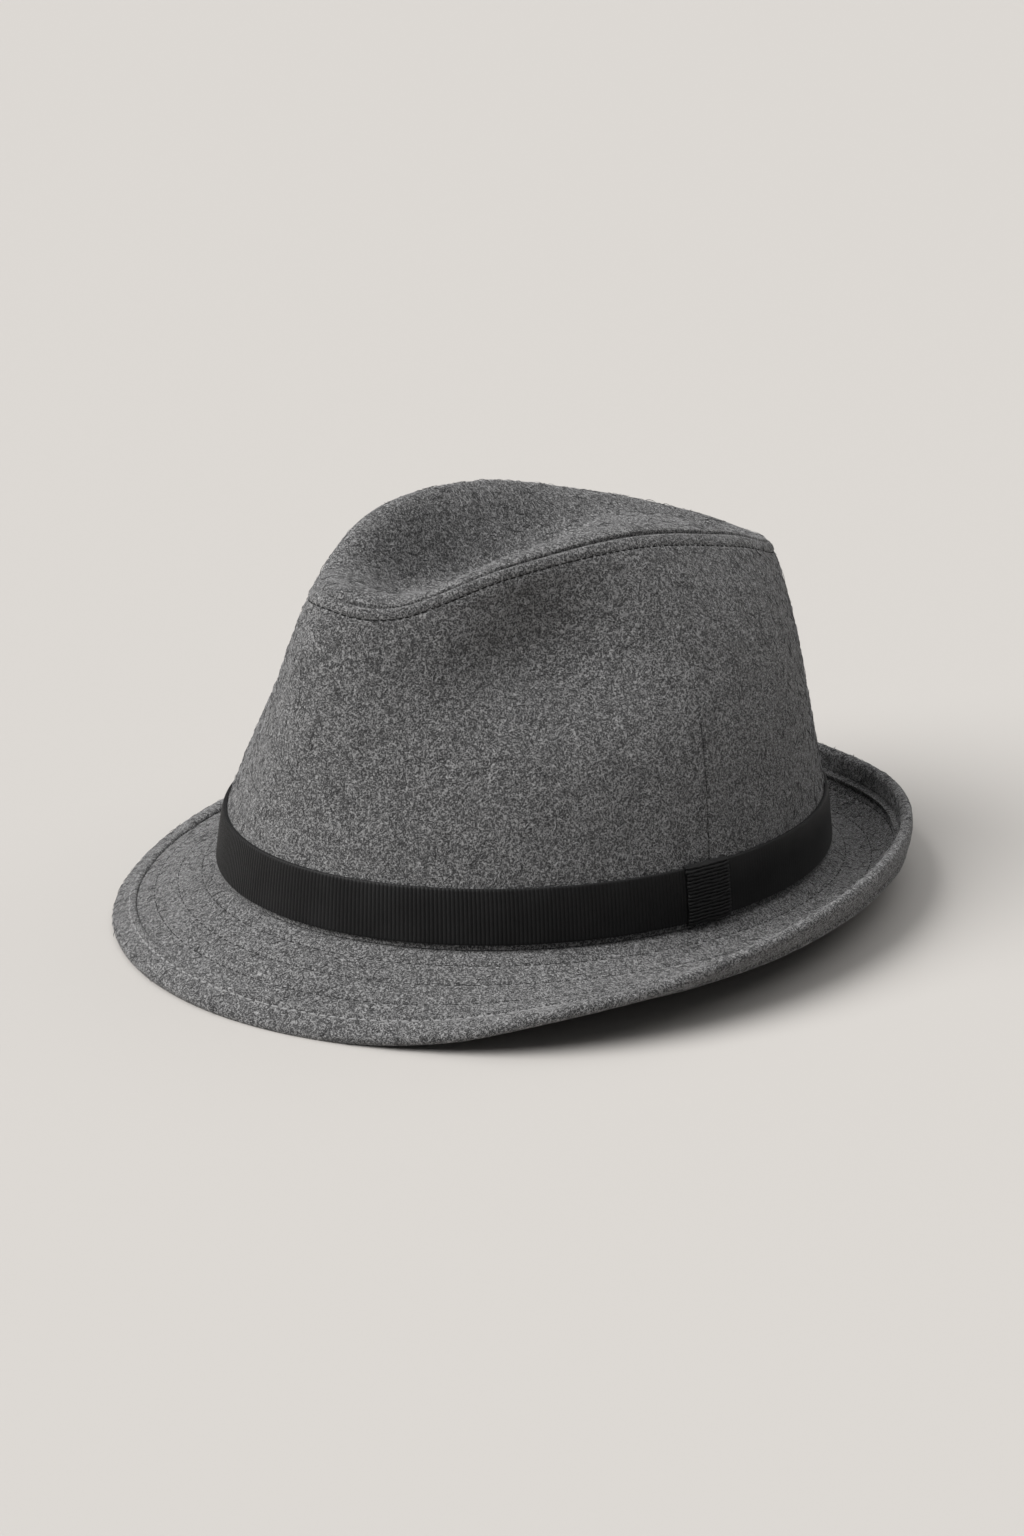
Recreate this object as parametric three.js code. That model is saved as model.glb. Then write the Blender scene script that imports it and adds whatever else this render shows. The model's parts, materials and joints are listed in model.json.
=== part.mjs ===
// Felt trilby: a blocked crown in two panels, a stitched brim with a bound edge, a ribbon and its loop.
// Millimetres, +Z up, -Y is the front, +X is the wearer's left. The hat lies on the plane z = 0.
import * as THREE from 'three';

// Head line: the oval where the crown's outer face meets the brim.
const headLength = 204;
const headWidth = 163.5;
const headLean = -2.9; // degrees, the back of the head line lies lower than the front
const headSaddle = 0.3; // the line dips this much in front and behind, and rises as much at the sides

// Crown side wall.
const feltWall = 2.4;
const crownHeight = 108; // from the head line's middle to the top seam's highest place
const footTall = 16; // the stretch that stands nearly upright under the ribbon
const footSlope = 0.12; // how far that stretch leans in for each millimetre of height
const footBend = 3; // rounding between that stretch and the wall above it

// Loop seam between the side wall and the top panel.
const seamLength = 170;
const seamWidth = 72;
const seamShift = 7.7; // the seam's middle lies this far behind the head line's middle
const seamSquareness = 2; // 2 is an ellipse

// Angle round the crown from the front towards the wearer's left, the seam's height as a share of
// crownHeight, the share of the wall's inward lean that is straight, and the power of the rest.
const seamRows = [
  { at: -180, height: 0.761, straight: 0.72, power: 8 },
  { at: -150, height: 0.81, straight: 0.76, power: 8 },
  { at: -120, height: 0.899, straight: 0.44, power: 5 },
  { at: -90, height: 0.99, straight: 0.49, power: 3.5 },
  { at: -60, height: 1.002, straight: 0.83, power: 4.5 },
  { at: -30, height: 0.901, straight: 0.98, power: 8 },
  { at: 0, height: 0.914, straight: 0.8, power: 8 },
  { at: 30, height: 0.897, straight: 0.98, power: 8 },
  { at: 60, height: 0.979, straight: 0.83, power: 4.5 },
  { at: 90, height: 0.998, straight: 0.49, power: 3.5 },
  { at: 120, height: 0.914, straight: 0.44, power: 5 },
  { at: 150, height: 0.8, straight: 0.76, power: 8 },
  { at: 180, height: 0.761, straight: 0.72, power: 8 },
];

// Pinch dents in the wall, one on each side below the front of the ridges.
const pinchDepth = 12.5;
const pinchAt = 66; // degrees from the front
const pinchSpread = 21; // degrees
const pinchHeight = 0.74; // share of the wall's height
const pinchTall = 0.165; // share of the wall's height

// Top panel: it rises to a crest just inside the seam and falls into the dent.
const crestRise = 1.8;
const crestWidth = 6;
const dentSlopeWidth = 24;

// Along the dent from front to back, as a share of the seam's half length, and the dent's floor
// as a share of crownHeight.
const dentRows = [
  { at: -1, floor: 0.89 },
  { at: -0.6, floor: 0.83 },
  { at: -0.2, floor: 0.825 },
  { at: 0.2, floor: 0.86 },
  { at: 0.6, floor: 0.865 },
  { at: 1, floor: 0.765 },
];

// Brim. It starts under the crown's wall with a flat flange.
const brimWidth = 38.5;
const brimWall = 2;
const flangeReach = 0.6; // how far the flange reaches in past the crown's wall
const flattening = 0.6; // how much felt is pressed flat where the brim rests

// Angle round the brim, its slope at the crown and at the edge in degrees, how late it turns from
// one to the other, and its width as a share of brimWidth.
const brimRows = [
  { at: -180, inner: -52.5, outer: 100, turn: 1.15, width: 0.89 },
  { at: -150, inner: -38, outer: 84, turn: 1.25, width: 0.87 },
  { at: -120, inner: -27, outer: 52, turn: 1.4, width: 0.9 },
  { at: -90, inner: -25, outer: 6, turn: 1.5, width: 0.95 },
  { at: -70, inner: -24, outer: -14, turn: 1.5, width: 0.968 },
  { at: -50, inner: -22, outer: -31, turn: 1.5, width: 0.965 },
  { at: -25, inner: -21.5, outer: -36.3, turn: 1.5, width: 0.972 },
  { at: 0, inner: -22, outer: -38.9, turn: 1.5, width: 0.95 },
  { at: 25, inner: -22, outer: -38, turn: 1.5, width: 0.94 },
  { at: 40, inner: -22, outer: -20.2, turn: 1.5, width: 0.94 },
  { at: 55, inner: -22, outer: 16, turn: 1.5, width: 0.966 },
  { at: 70, inner: -22.5, outer: 39, turn: 1.5, width: 0.956 },
  { at: 90, inner: -26.5, outer: 74.5, turn: 1.5, width: 0.94 },
  { at: 120, inner: -26.5, outer: 100, turn: 1.4, width: 0.885 },
  { at: 150, inner: -35, outer: 104, turn: 1.25, width: 0.856 },
  { at: 180, inner: -52.5, outer: 100, turn: 1.15, width: 0.89 },
];

// Strip of the same cloth folded round the brim's edge.
const bindingCover = 9; // how far it reaches in from the edge, above and below
const bindingWall = 1;
const bindingInset = 0.4; // the brim is pressed thinner by this much on each face under the strip

// Ribbon and its loop.
const ribbonHeight = 16.5;
const ribbonWall = 1;
const ribbonFoot = 1.6; // from the head line up to the ribbon's lower edge
const loopWidth = 16.5;
const loopAt = 90; // degrees round the crown, over the upright seam

const clearance = 0.3;

// How finely the forms are cut.
const columns = 66;
const wallShares = [0, 0.08, 0.14, 0.19, 0.3, 0.43, 0.55, 0.66, 0.75, 0.83, 0.9, 0.96, 1];
const tipShares = [0, 0.05, 0.11, 0.19, 0.3, 0.44, 0.6, 0.8];
const brimShares = [0, 0.14, 0.3, 0.48, 0.66, 0.84, 1];
const pathSteps = 20;
const loopSteps = 5;
const edgeSteps = 4;

const radians = THREE.MathUtils.degToRad;
const up = new THREE.Vector3(0, 0, 1);

// A smooth curve through one column of a table.
function follow(rows, key, x) {
  const last = rows.length - 1;
  const place = THREE.MathUtils.clamp(x, rows[0].at, rows[last].at);
  let i = 0;
  while (i < last - 1 && rows[i + 1].at <= place) i += 1;
  const slope = (k) => {
    if (k === 0 || k === last) return 0;
    return (rows[k + 1][key] - rows[k - 1][key]) / (rows[k + 1].at - rows[k - 1].at);
  };
  const span = rows[i + 1].at - rows[i].at;
  const s = (place - rows[i].at) / span;
  const s2 = s * s;
  const s3 = s2 * s;
  return (2 * s3 - 3 * s2 + 1) * rows[i][key] + (s3 - 2 * s2 + s) * span * slope(i)
    + (3 * s2 - 2 * s3) * rows[i + 1][key] + (s3 - s2) * span * slope(i + 1);
}

function ease(x) {
  const s = THREE.MathUtils.clamp(x, 0, 1);
  return s * s * (3 - 2 * s);
}

// A ramp that is flat below zero and straight above, rounded over footBend.
const ramp = (x) => (x + Math.hypot(x, footBend)) / 2;

// Point of the head line at an angle, with its height above the line's middle.
function headPoint(angle) {
  const a = radians(angle);
  const y = -headLength / 2 * Math.cos(a);
  const z = y * Math.tan(radians(headLean)) - headSaddle * Math.cos(2 * a);
  return new THREE.Vector3(headWidth / 2 * Math.sin(a), y, z);
}

// Level direction straight out from the head line.
function headOut(angle) {
  const a = radians(angle);
  return new THREE.Vector3(Math.sin(a) / headWidth, -Math.cos(a) / headLength, 0).normalize();
}

function seamPoint(angle) {
  const a = radians(angle);
  const bend = (v) => Math.sign(v) * Math.abs(v) ** (2 / seamSquareness);
  return new THREE.Vector3(
    seamWidth / 2 * bend(Math.sin(a)),
    seamShift - seamLength / 2 * bend(Math.cos(a)),
    crownHeight * follow(seamRows, 'height', angle),
  );
}

// Point of the crown's outer face, t from 0 at the head line to 1 at the seam.
function wallPoint(angle, t) {
  const foot = headPoint(angle);
  const seam = seamPoint(angle);
  const tall = seam.z - foot.z;
  const level = new THREE.Vector3(seam.x - foot.x, seam.y - foot.y, 0);
  const lean = level.length();
  const straight = lean * follow(seamRows, 'straight', angle);
  const rest = ramp(tall - footTall) - ramp(-footTall);
  const steepness = (straight - footSlope * tall) / rest;
  const z = tall * t;
  const inset = footSlope * z + steepness * (ramp(z - footTall) - ramp(-footTall))
    + (lean - straight) * t ** follow(seamRows, 'power', angle);
  const point = foot.clone().addScaledVector(level, inset / lean);
  const pinch = pinchDepth * Math.exp(-(((Math.abs(angle) - pinchAt) / pinchSpread) ** 2))
    * Math.exp(-(((t - pinchHeight) / pinchTall) ** 2)) * Math.min(1, (1 - t) * 12);
  point.x -= pinch * Math.sin(radians(angle));
  point.y += pinch * Math.cos(radians(angle));
  point.z += z;
  return point;
}

// Distance from the seam's middle square across to the seam's line at an angle.
function seamReach(angle) {
  const point = seamPoint(angle);
  const a = radians(angle);
  const bend = (v) => Math.sign(v) * Math.abs(v) ** (2 - 2 / seamSquareness);
  const across = new THREE.Vector2(bend(Math.sin(a)) / seamWidth, -bend(Math.cos(a)) / seamLength);
  return across.normalize().dot(new THREE.Vector2(point.x, point.y - seamShift));
}

// Point of the top panel's upper face, v from 0 at the seam to 1 at the middle.
function tipPoint(angle, v) {
  const seam = seamPoint(angle);
  const inward = v * seamReach(angle);
  const x = seam.x * (1 - v);
  const y = seamShift + (seam.y - seamShift) * (1 - v);
  const crest = seam.z + crestRise * Math.sin(Math.PI / 2 * Math.min(1, inward / crestWidth));
  const sunk = Math.max(ease((inward - crestWidth * 0.6) / dentSlopeWidth), ease(v) ** 4);
  const floor = crownHeight * follow(dentRows, 'floor', (y - seamShift) / (seamLength / 2));
  return new THREE.Vector3(x, y, crest * (1 - sunk) + floor * sunk);
}

// The crown as one face, w from 0 at the head line over 1 at the seam to 2 at the middle.
const crownPoint = (angle, w) => (w < 1 ? wallPoint(angle, w) : tipPoint(angle, w - 1));

function wrap(angle) {
  return THREE.MathUtils.euclideanModulo(angle + 180, 360) - 180;
}

// Direction up the crown's face, and its outward normal.
function crownFrame(angle, w) {
  const step = 0.01;
  const turn = 0.5;
  const ahead = crownPoint(angle, Math.min(2 - step, w + step));
  const rise = ahead.sub(crownPoint(angle, Math.max(0, w - step))).normalize();
  const round = crownPoint(wrap(angle + turn), w).sub(crownPoint(wrap(angle - turn), w));
  return { rise, normal: round.cross(rise).normalize() };
}

// A place on the brim's profile: s along the upper face from the crown, d down into the felt.
function brimPoint(angle, s, d) {
  const inner = radians(follow(brimRows, 'inner', angle));
  const outer = radians(follow(brimRows, 'outer', angle));
  const turn = follow(brimRows, 'turn', angle);
  const width = brimWidth * follow(brimRows, 'width', angle);
  const slope = (along) => inner + (outer - inner) * Math.max(0, along / width) ** turn;
  let out = Math.min(s, 0);
  let z = -clearance;
  const count = s > 0 ? pathSteps : 0;
  for (let i = 0; i < count; i += 1) {
    const here = slope(s * (i + 0.5) / count);
    out += Math.cos(here) * s / count;
    z += Math.sin(here) * s / count;
  }
  const tilt = s > 0 ? slope(s) : 0;
  return headPoint(angle)
    .addScaledVector(headOut(angle), out + Math.sin(tilt) * d)
    .addScaledVector(up, z - Math.cos(tilt) * d);
}

// A section is two chains of points with one wall between them. The first has its free side to the
// right of its run, seen from behind as the sections go round from the front to the wearer's left.
function wallSection(angle) {
  const outer = [];
  const inner = [];
  for (const t of wallShares) {
    const { rise, normal } = crownFrame(angle, t);
    const point = wallPoint(angle, t);
    if (t === 0) normal.setZ(0).normalize();
    if (t === 1) point.addScaledVector(rise, -clearance / 2);
    outer.push(point);
    inner.push(point.clone().addScaledVector(normal, -feltWall));
  }
  return [outer, inner];
}

function brimSection(angle) {
  const width = brimWidth * follow(brimRows, 'width', angle);
  const edge = width - brimWall / 2 - bindingRise();
  const step = width - bindingCover - clearance;
  const places = [{ s: -feltWall - flangeReach, thin: 0 }];
  for (const share of brimShares) places.push({ s: share * step, thin: 0 });
  places.push({ s: step, thin: bindingInset });
  places.push({ s: (step + edge) / 2, thin: bindingInset });
  places.push({ s: edge, thin: bindingInset });
  const top = places.map(({ s, thin }) => brimPoint(angle, s, thin));
  const bottom = places.map(({ s, thin }) => brimPoint(angle, s, brimWall - thin));
  return [bottom, top];
}

// How far the binding stands above the brim's face.
function bindingRise() {
  return bindingWall + clearance - bindingInset;
}

function bindingChain(angle, half) {
  const width = brimWidth * follow(brimRows, 'width', angle);
  const middle = brimWall / 2;
  const turnAt = width - middle - bindingRise();
  const legs = [width - bindingCover, width - bindingCover * 0.6];
  const chain = legs.map((s) => brimPoint(angle, s, middle + half));
  for (let i = 0; i <= edgeSteps; i += 1) {
    const a = Math.PI * i / edgeSteps;
    chain.push(brimPoint(angle, turnAt + half * Math.sin(a), middle + half * Math.cos(a)));
  }
  for (const s of legs.reverse()) chain.push(brimPoint(angle, s, middle - half));
  return chain;
}

function bindingSection(angle) {
  const half = brimWall / 2 + bindingRise();
  return [bindingChain(angle, half), bindingChain(angle, half - bindingWall)];
}

// A point off the crown's foot, z above the head line and out from the wall.
function offWall(angle, z, out) {
  const t = z / (seamPoint(angle).z - headPoint(angle).z);
  return wallPoint(angle, t).addScaledVector(crownFrame(angle, t).normal, out);
}

function ribbonSection(angle) {
  const shares = [0, 0.35, 0.7, 1];
  const heights = shares.map((share) => ribbonFoot + share * ribbonHeight);
  const outer = heights.map((z) => offWall(angle, z, clearance + ribbonWall));
  const inner = heights.map((z) => offWall(angle, z, clearance));
  return [outer, inner];
}

function loopSection(angle) {
  const near = clearance;
  const face = 2 * clearance + ribbonWall;
  const low = ribbonFoot - clearance;
  const high = ribbonFoot + ribbonHeight + clearance;
  const chain = (grow) => [
    offWall(angle, low - grow, near),
    offWall(angle, low - grow, face + grow),
    offWall(angle, (low + high) / 2, face + grow),
    offWall(angle, high + grow, face + grow),
    offWall(angle, high + grow, near),
  ];
  return [chain(ribbonWall), chain(0)];
}

function makeGeometry(points, triangles) {
  const geometry = new THREE.BufferGeometry();
  const flat = points.flatMap((p) => [p.x, p.y, p.z]);
  geometry.setAttribute('position', new THREE.Float32BufferAttribute(flat, 3));
  geometry.setIndex(triangles.flat());
  geometry.computeVertexNormals();
  return geometry;
}

// Joins sections side by side. A closed run is a ring, an open one gets a face at each end.
function loft(sections, closed) {
  const points = sections.flatMap(([outer, inner]) => [...outer, ...inner]);
  const n = sections[0][0].length;
  const stride = 2 * n;
  const triangles = [];
  // Each quad is split along its shorter diagonal, so two faces that lie close split alike.
  const quad = (a, b, c, d) => {
    const across = points[a].distanceToSquared(points[c]) < points[b].distanceToSquared(points[d]);
    if (across) triangles.push([a, b, c], [a, c, d]);
    else triangles.push([a, b, d], [b, c, d]);
  };
  const pairs = closed ? sections.length : sections.length - 1;
  for (let k = 0; k < pairs; k += 1) {
    const here = k * stride;
    const next = ((k + 1) % sections.length) * stride;
    for (let i = 0; i < n - 1; i += 1) {
      quad(here + i, next + i, next + i + 1, here + i + 1);
      quad(here + n + i, here + n + i + 1, next + n + i + 1, next + n + i);
    }
    quad(here, here + n, next + n, next);
    quad(here + n - 1, next + n - 1, next + stride - 1, here + stride - 1);
  }
  if (!closed) {
    const end = (sections.length - 1) * stride;
    for (let i = 0; i < n - 1; i += 1) {
      quad(i, i + 1, n + i + 1, n + i);
      quad(end + i, end + n + i, end + n + i + 1, end + i + 1);
    }
  }
  return makeGeometry(points, triangles);
}

// The top panel: rings from the seam inwards, closed by one point above and one below.
function tipGeometry(angles) {
  const outer = [];
  const inner = [];
  for (const v of tipShares) {
    for (const angle of angles) {
      const { rise, normal } = crownFrame(angle, 1 + v);
      const point = tipPoint(angle, v);
      if (v === 0) point.addScaledVector(rise, clearance / 2);
      outer.push(point);
      inner.push(point.clone().addScaledVector(normal, -feltWall));
    }
  }
  const middle = tipPoint(0, 1);
  const count = outer.length;
  const points = [...outer, middle, ...inner, middle.clone().addScaledVector(up, -feltWall)];
  const under = count + 1;
  const n = angles.length;
  const triangles = [];
  for (let k = 0; k < n; k += 1) {
    const next = (k + 1) % n;
    for (let ring = 0; ring < tipShares.length - 1; ring += 1) {
      const a = ring * n + k;
      const b = ring * n + next;
      triangles.push([a, b, b + n], [a, b + n, a + n]);
      triangles.push([under + a, under + b + n, under + b], [under + a, under + a + n, under + b + n]);
    }
    const last = (tipShares.length - 1) * n;
    triangles.push([last + k, last + next, count]);
    triangles.push([under + last + k, under + count, under + last + next]);
    triangles.push([k, under + k, under + next], [k, under + next, next]);
  }
  return makeGeometry(points, triangles);
}

// Presses the felt flat where it would pass below the surface it rests on.
function pressFlat(geometry, level) {
  const position = geometry.getAttribute('position');
  for (let i = 0; i < position.count; i += 1) {
    position.setZ(i, Math.max(position.getZ(i), level));
  }
  geometry.computeVertexNormals();
}

function lowest(geometry) {
  geometry.computeBoundingBox();
  return geometry.boundingBox.min.z;
}

const ringAngles = Array.from({ length: columns }, (_, k) => -180 + 360 * k / columns);
const ring = (section) => loft(ringAngles.map(section), true);

const felt = { color: 0x6f7072, roughness: 0.95, metalness: 0 };
const ribbon = { color: 0x17181a, roughness: 0.6, metalness: 0 };

const loopTurn = THREE.MathUtils.radToDeg(loopWidth / (headLength / 2));
const loopAngles = Array.from({ length: loopSteps + 1 }, (_, k) => (
  loopAt - loopTurn / 2 + loopTurn * k / loopSteps
));

const pieces = [
  { name: 'crown_side', geometry: ring(wallSection), finish: felt },
  { name: 'crown_tip', geometry: tipGeometry(ringAngles), finish: felt },
  { name: 'brim', geometry: ring(brimSection), finish: felt },
  { name: 'brim_binding', geometry: ring(bindingSection), finish: felt },
  { name: 'hat_band', geometry: ring(ribbonSection), finish: ribbon },
  { name: 'band_loop', geometry: loft(loopAngles.map(loopSection), false), finish: ribbon },
];

const group = new THREE.Group();
const restLevel = Math.min(...pieces.map((piece) => lowest(piece.geometry))) + flattening;
for (const { name, geometry, finish } of pieces) {
  pressFlat(geometry, restLevel);
  const mesh = new THREE.Mesh(geometry, new THREE.MeshStandardMaterial(finish));
  mesh.name = name;
  group.add(mesh);
}

// The origin is the middle of the footprint, on the surface that the hat rests on.
const middle = new THREE.Box3().setFromObject(group).getCenter(new THREE.Vector3());
group.position.set(-middle.x, -middle.y, -restLevel);
group.updateMatrixWorld(true);

export default group;
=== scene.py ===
# Felt trilby lying on a pale floor. Lengths are in millimetres until a mesh is made, then in metres.
import json
import math

import bpy
import numpy as np
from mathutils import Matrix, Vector, noise

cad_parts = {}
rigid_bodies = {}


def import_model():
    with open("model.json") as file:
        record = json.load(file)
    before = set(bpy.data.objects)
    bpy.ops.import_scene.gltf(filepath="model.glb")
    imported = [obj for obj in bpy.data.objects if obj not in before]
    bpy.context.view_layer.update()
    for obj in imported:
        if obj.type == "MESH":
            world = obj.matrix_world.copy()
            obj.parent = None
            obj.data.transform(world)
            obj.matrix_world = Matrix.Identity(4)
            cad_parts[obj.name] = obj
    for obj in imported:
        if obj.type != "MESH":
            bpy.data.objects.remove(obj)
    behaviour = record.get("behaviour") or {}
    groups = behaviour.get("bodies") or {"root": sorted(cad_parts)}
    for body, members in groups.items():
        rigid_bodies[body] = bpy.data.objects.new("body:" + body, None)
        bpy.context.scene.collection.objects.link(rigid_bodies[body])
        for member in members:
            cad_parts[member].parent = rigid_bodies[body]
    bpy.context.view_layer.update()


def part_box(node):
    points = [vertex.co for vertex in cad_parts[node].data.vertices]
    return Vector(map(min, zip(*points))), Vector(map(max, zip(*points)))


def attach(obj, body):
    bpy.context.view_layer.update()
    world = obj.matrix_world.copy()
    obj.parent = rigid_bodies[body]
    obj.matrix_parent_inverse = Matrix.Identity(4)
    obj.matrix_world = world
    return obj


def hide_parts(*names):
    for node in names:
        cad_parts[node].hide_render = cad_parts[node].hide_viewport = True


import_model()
print("frame loaded")

mm = 0.001

headLine = {"length": 204, "width": 163.5, "lean": -2.9, "saddle": 0.3}

crown = {
    "height": 108,
    "wall": 2.4,
    "footTall": 16,
    "footSlope": 0.12,
    "footBend": 3,
    "rows": 62,
    "innerRows": 14,
    "columnStep": 0.8,
    # angle round the crown, seam height as a share of height,
    # straight share of the lean, power of the rest
    "sections": [
        dict(at=-180, height=0.761, straight=0.72, power=8),
        dict(at=-150, height=0.81, straight=0.76, power=8),
        dict(at=-120, height=0.899, straight=0.44, power=5),
        dict(at=-90, height=0.99, straight=0.49, power=3.5),
        dict(at=-60, height=1.002, straight=0.83, power=4.5),
        dict(at=-30, height=0.901, straight=0.98, power=8),
        dict(at=0, height=0.914, straight=0.8, power=8),
        dict(at=30, height=0.897, straight=0.98, power=8),
        dict(at=60, height=0.979, straight=0.83, power=4.5),
        dict(at=90, height=0.998, straight=0.49, power=3.5),
        dict(at=120, height=0.914, straight=0.44, power=5),
        dict(at=150, height=0.8, straight=0.76, power=8),
        dict(at=180, height=0.761, straight=0.72, power=8),
    ],
}

topSeam = {
    "length": 170,
    "width": 72,
    "shift": 7.7,
    "squareness": 2,
    "gap": 0.15,
    "grooveDeep": 1.2,
    "grooveWide": 0.34,
    "bulge": 0.3,
    "stitchLine": 3.6,
    "stitchDeep": 0.2,
    "stitchWide": 0.35,
}

pinch = {"depth": 12.5, "at": 66, "spread": 21, "height": 0.74, "tall": 0.165}

uprightSeam = {
    "at": 90,
    "drift": 7.5,
    "reach": 12,
    "deep": 0.62,
    "wide": 0.26,
    "ridge": 0.1,
    "fade": 0.65,
    "perDegree": 1.62,  # millimetres round the crown
}

tip = {
    "crestRise": 1.8,
    "crestWidth": 6,
    "slopeWidth": 24,
    "rows": 26,
    "innerRows": 12,
    # share of the seam's half length from front to back, floor as a share of the crown's height
    "dent": [
        dict(at=-1, floor=0.89),
        dict(at=-0.6, floor=0.83),
        dict(at=-0.2, floor=0.825),
        dict(at=0.2, floor=0.86),
        dict(at=0.6, floor=0.865),
        dict(at=1, floor=0.765),
    ],
}

brim = {
    "width": 38.5,
    "wall": 2,
    "flange": 3,
    "drop": 0.3,
    "pressed": 0.4,  # where the binding covers it
    "columns": 720,
    "stitchRows": [6, 14, 22],
    "stitchDeep": 0.28,
    "stitchWide": 0.45,
    # angle round the brim, slope at the crown and at the edge, how late it turns, share of the width
    "sections": [
        dict(at=-180, inner=-52.5, outer=100, turn=1.15, width=0.89),
        dict(at=-150, inner=-38, outer=84, turn=1.25, width=0.87),
        dict(at=-120, inner=-27, outer=52, turn=1.4, width=0.9),
        dict(at=-90, inner=-25, outer=6, turn=1.5, width=0.95),
        dict(at=-70, inner=-24, outer=-14, turn=1.5, width=0.968),
        dict(at=-50, inner=-22, outer=-31, turn=1.5, width=0.965),
        dict(at=-25, inner=-21.5, outer=-36.3, turn=1.5, width=0.972),
        dict(at=0, inner=-22, outer=-38.9, turn=1.5, width=0.95),
        dict(at=25, inner=-22, outer=-38, turn=1.5, width=0.94),
        dict(at=40, inner=-22, outer=-20.2, turn=1.5, width=0.94),
        dict(at=55, inner=-22, outer=16, turn=1.5, width=0.966),
        dict(at=70, inner=-22.5, outer=39, turn=1.5, width=0.956),
        dict(at=90, inner=-26.5, outer=74.5, turn=1.5, width=0.94),
        dict(at=120, inner=-26.5, outer=100, turn=1.4, width=0.885),
        dict(at=150, inner=-35, outer=104, turn=1.25, width=0.856),
        dict(at=180, inner=-52.5, outer=100, turn=1.15, width=0.89),
    ],
}

# the ditch is where it is stitched down, and is filled in front by ditchFill
binding = {
    "cover": 9,
    "wall": 1,
    "half": 1.9,
    "ridge": 0.55,
    "ridgeAt": 8.4,
    "ridgeWide": 0.7,
    "ditchAt": 7.0,
    "ditchFill": 0.55,
    "ditchWide": 0.5,
}

ribbon = {
    "height": 16.5,
    "wall": 1,
    "foot": 1.6,
    "clear": 0.3,
    "ribs": 470,
    "ribColumns": 6,
    "relief": 0.26,
    "calmAt": 93,  # angle past which the ribs are faint
    "calm": 0.92,
}

ribbonLoop = {
    "width": 16.5,
    "at": 90,
    "wall": 0.7,
    "margin": 0.85,
    "ribs": 17,
    "ribRows": 6,
    "relief": 0.5,
    "waver": 0.12,
    "edgeWaver": 0.16,
    "endFall": 0.55,
    "sideFall": 0.35,
    "columns": 48,
}


def follow(rows, column, x):
    # smooth curve through one column of a table, level at both ends
    at = np.array([row["at"] for row in rows], float)
    value = np.array([row[column] for row in rows], float)
    slope = np.zeros_like(value)
    slope[1:-1] = (value[2:] - value[:-2]) / (at[2:] - at[:-2])
    x = np.clip(x, at[0], at[-1])
    i = np.clip(np.searchsorted(at, x, side="right") - 1, 0, len(at) - 2)
    span = at[i + 1] - at[i]
    s = (x - at[i]) / span
    s2 = s * s
    s3 = s2 * s
    before = (2 * s3 - 3 * s2 + 1) * value[i] + (s3 - 2 * s2 + s) * span * slope[i]
    return before + (3 * s2 - 2 * s3) * value[i + 1] + (s3 - s2) * span * slope[i + 1]


def ease(x):
    s = np.clip(x, 0, 1)
    return s * s * (3 - 2 * s)


def ramp(x):
    return (x + np.hypot(x, crown["footBend"])) / 2


def bump(x, wide):
    return np.exp(-((x / wide) ** 2))


def pack3(x, y, z):
    return np.stack(np.broadcast_arrays(x, y, z), -1)


def headPoint(angle):
    a = np.radians(angle)
    y = -headLine["length"] / 2 * np.cos(a)
    z = y * math.tan(math.radians(headLine["lean"])) - headLine["saddle"] * np.cos(2 * a)
    return pack3(headLine["width"] / 2 * np.sin(a), y, z)


def headOut(angle):
    a = np.radians(angle)
    out = pack3(np.sin(a) / headLine["width"], -np.cos(a) / headLine["length"], 0 * a)
    return out / np.linalg.norm(out, axis=-1, keepdims=True)


def signedPower(value, power):
    return np.sign(value) * np.abs(value) ** power


def seamPoint(angle):
    a = np.radians(angle)
    power = 2 / topSeam["squareness"]
    return pack3(
        topSeam["width"] / 2 * signedPower(np.sin(a), power),
        topSeam["shift"] - topSeam["length"] / 2 * signedPower(np.cos(a), power),
        crown["height"] * follow(crown["sections"], "height", angle),
    )


def wallPoint(angle, t):
    # the crown's outer face, t from 0 at the head line to 1 at the seam
    angle, t = np.broadcast_arrays(np.asarray(angle, float), np.asarray(t, float))
    foot = headPoint(angle)
    seam = seamPoint(angle)
    tall = seam[..., 2] - foot[..., 2]
    level = seam - foot
    level[..., 2] = 0
    lean = np.linalg.norm(level, axis=-1)
    straight = lean * follow(crown["sections"], "straight", angle)
    rest = ramp(tall - crown["footTall"]) - ramp(-crown["footTall"])
    steepness = (straight - crown["footSlope"] * tall) / rest
    z = tall * t
    inset = crown["footSlope"] * z
    inset = inset + steepness * (ramp(z - crown["footTall"]) - ramp(-crown["footTall"]))
    inset = inset + (lean - straight) * t ** follow(crown["sections"], "power", angle)
    point = foot + level * (inset / lean)[..., None]
    push = pinch["depth"] * bump(np.abs(angle) - pinch["at"], pinch["spread"])
    push = push * bump(t - pinch["height"], pinch["tall"]) * np.minimum(1, (1 - t) * 12)
    a = np.radians(angle)
    point[..., 0] -= push * np.sin(a)
    point[..., 1] += push * np.cos(a)
    point[..., 2] += z
    return point


def seamReach(angle):
    # distance from the seam's middle square across to its line
    point = seamPoint(angle)
    a = np.radians(angle)
    power = 2 - 2 / topSeam["squareness"]
    across = np.stack([
        signedPower(np.sin(a), power) / topSeam["width"],
        -signedPower(np.cos(a), power) / topSeam["length"],
    ], -1)
    across = across / np.linalg.norm(across, axis=-1, keepdims=True)
    return across[..., 0] * point[..., 0] + across[..., 1] * (point[..., 1] - topSeam["shift"])


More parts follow.
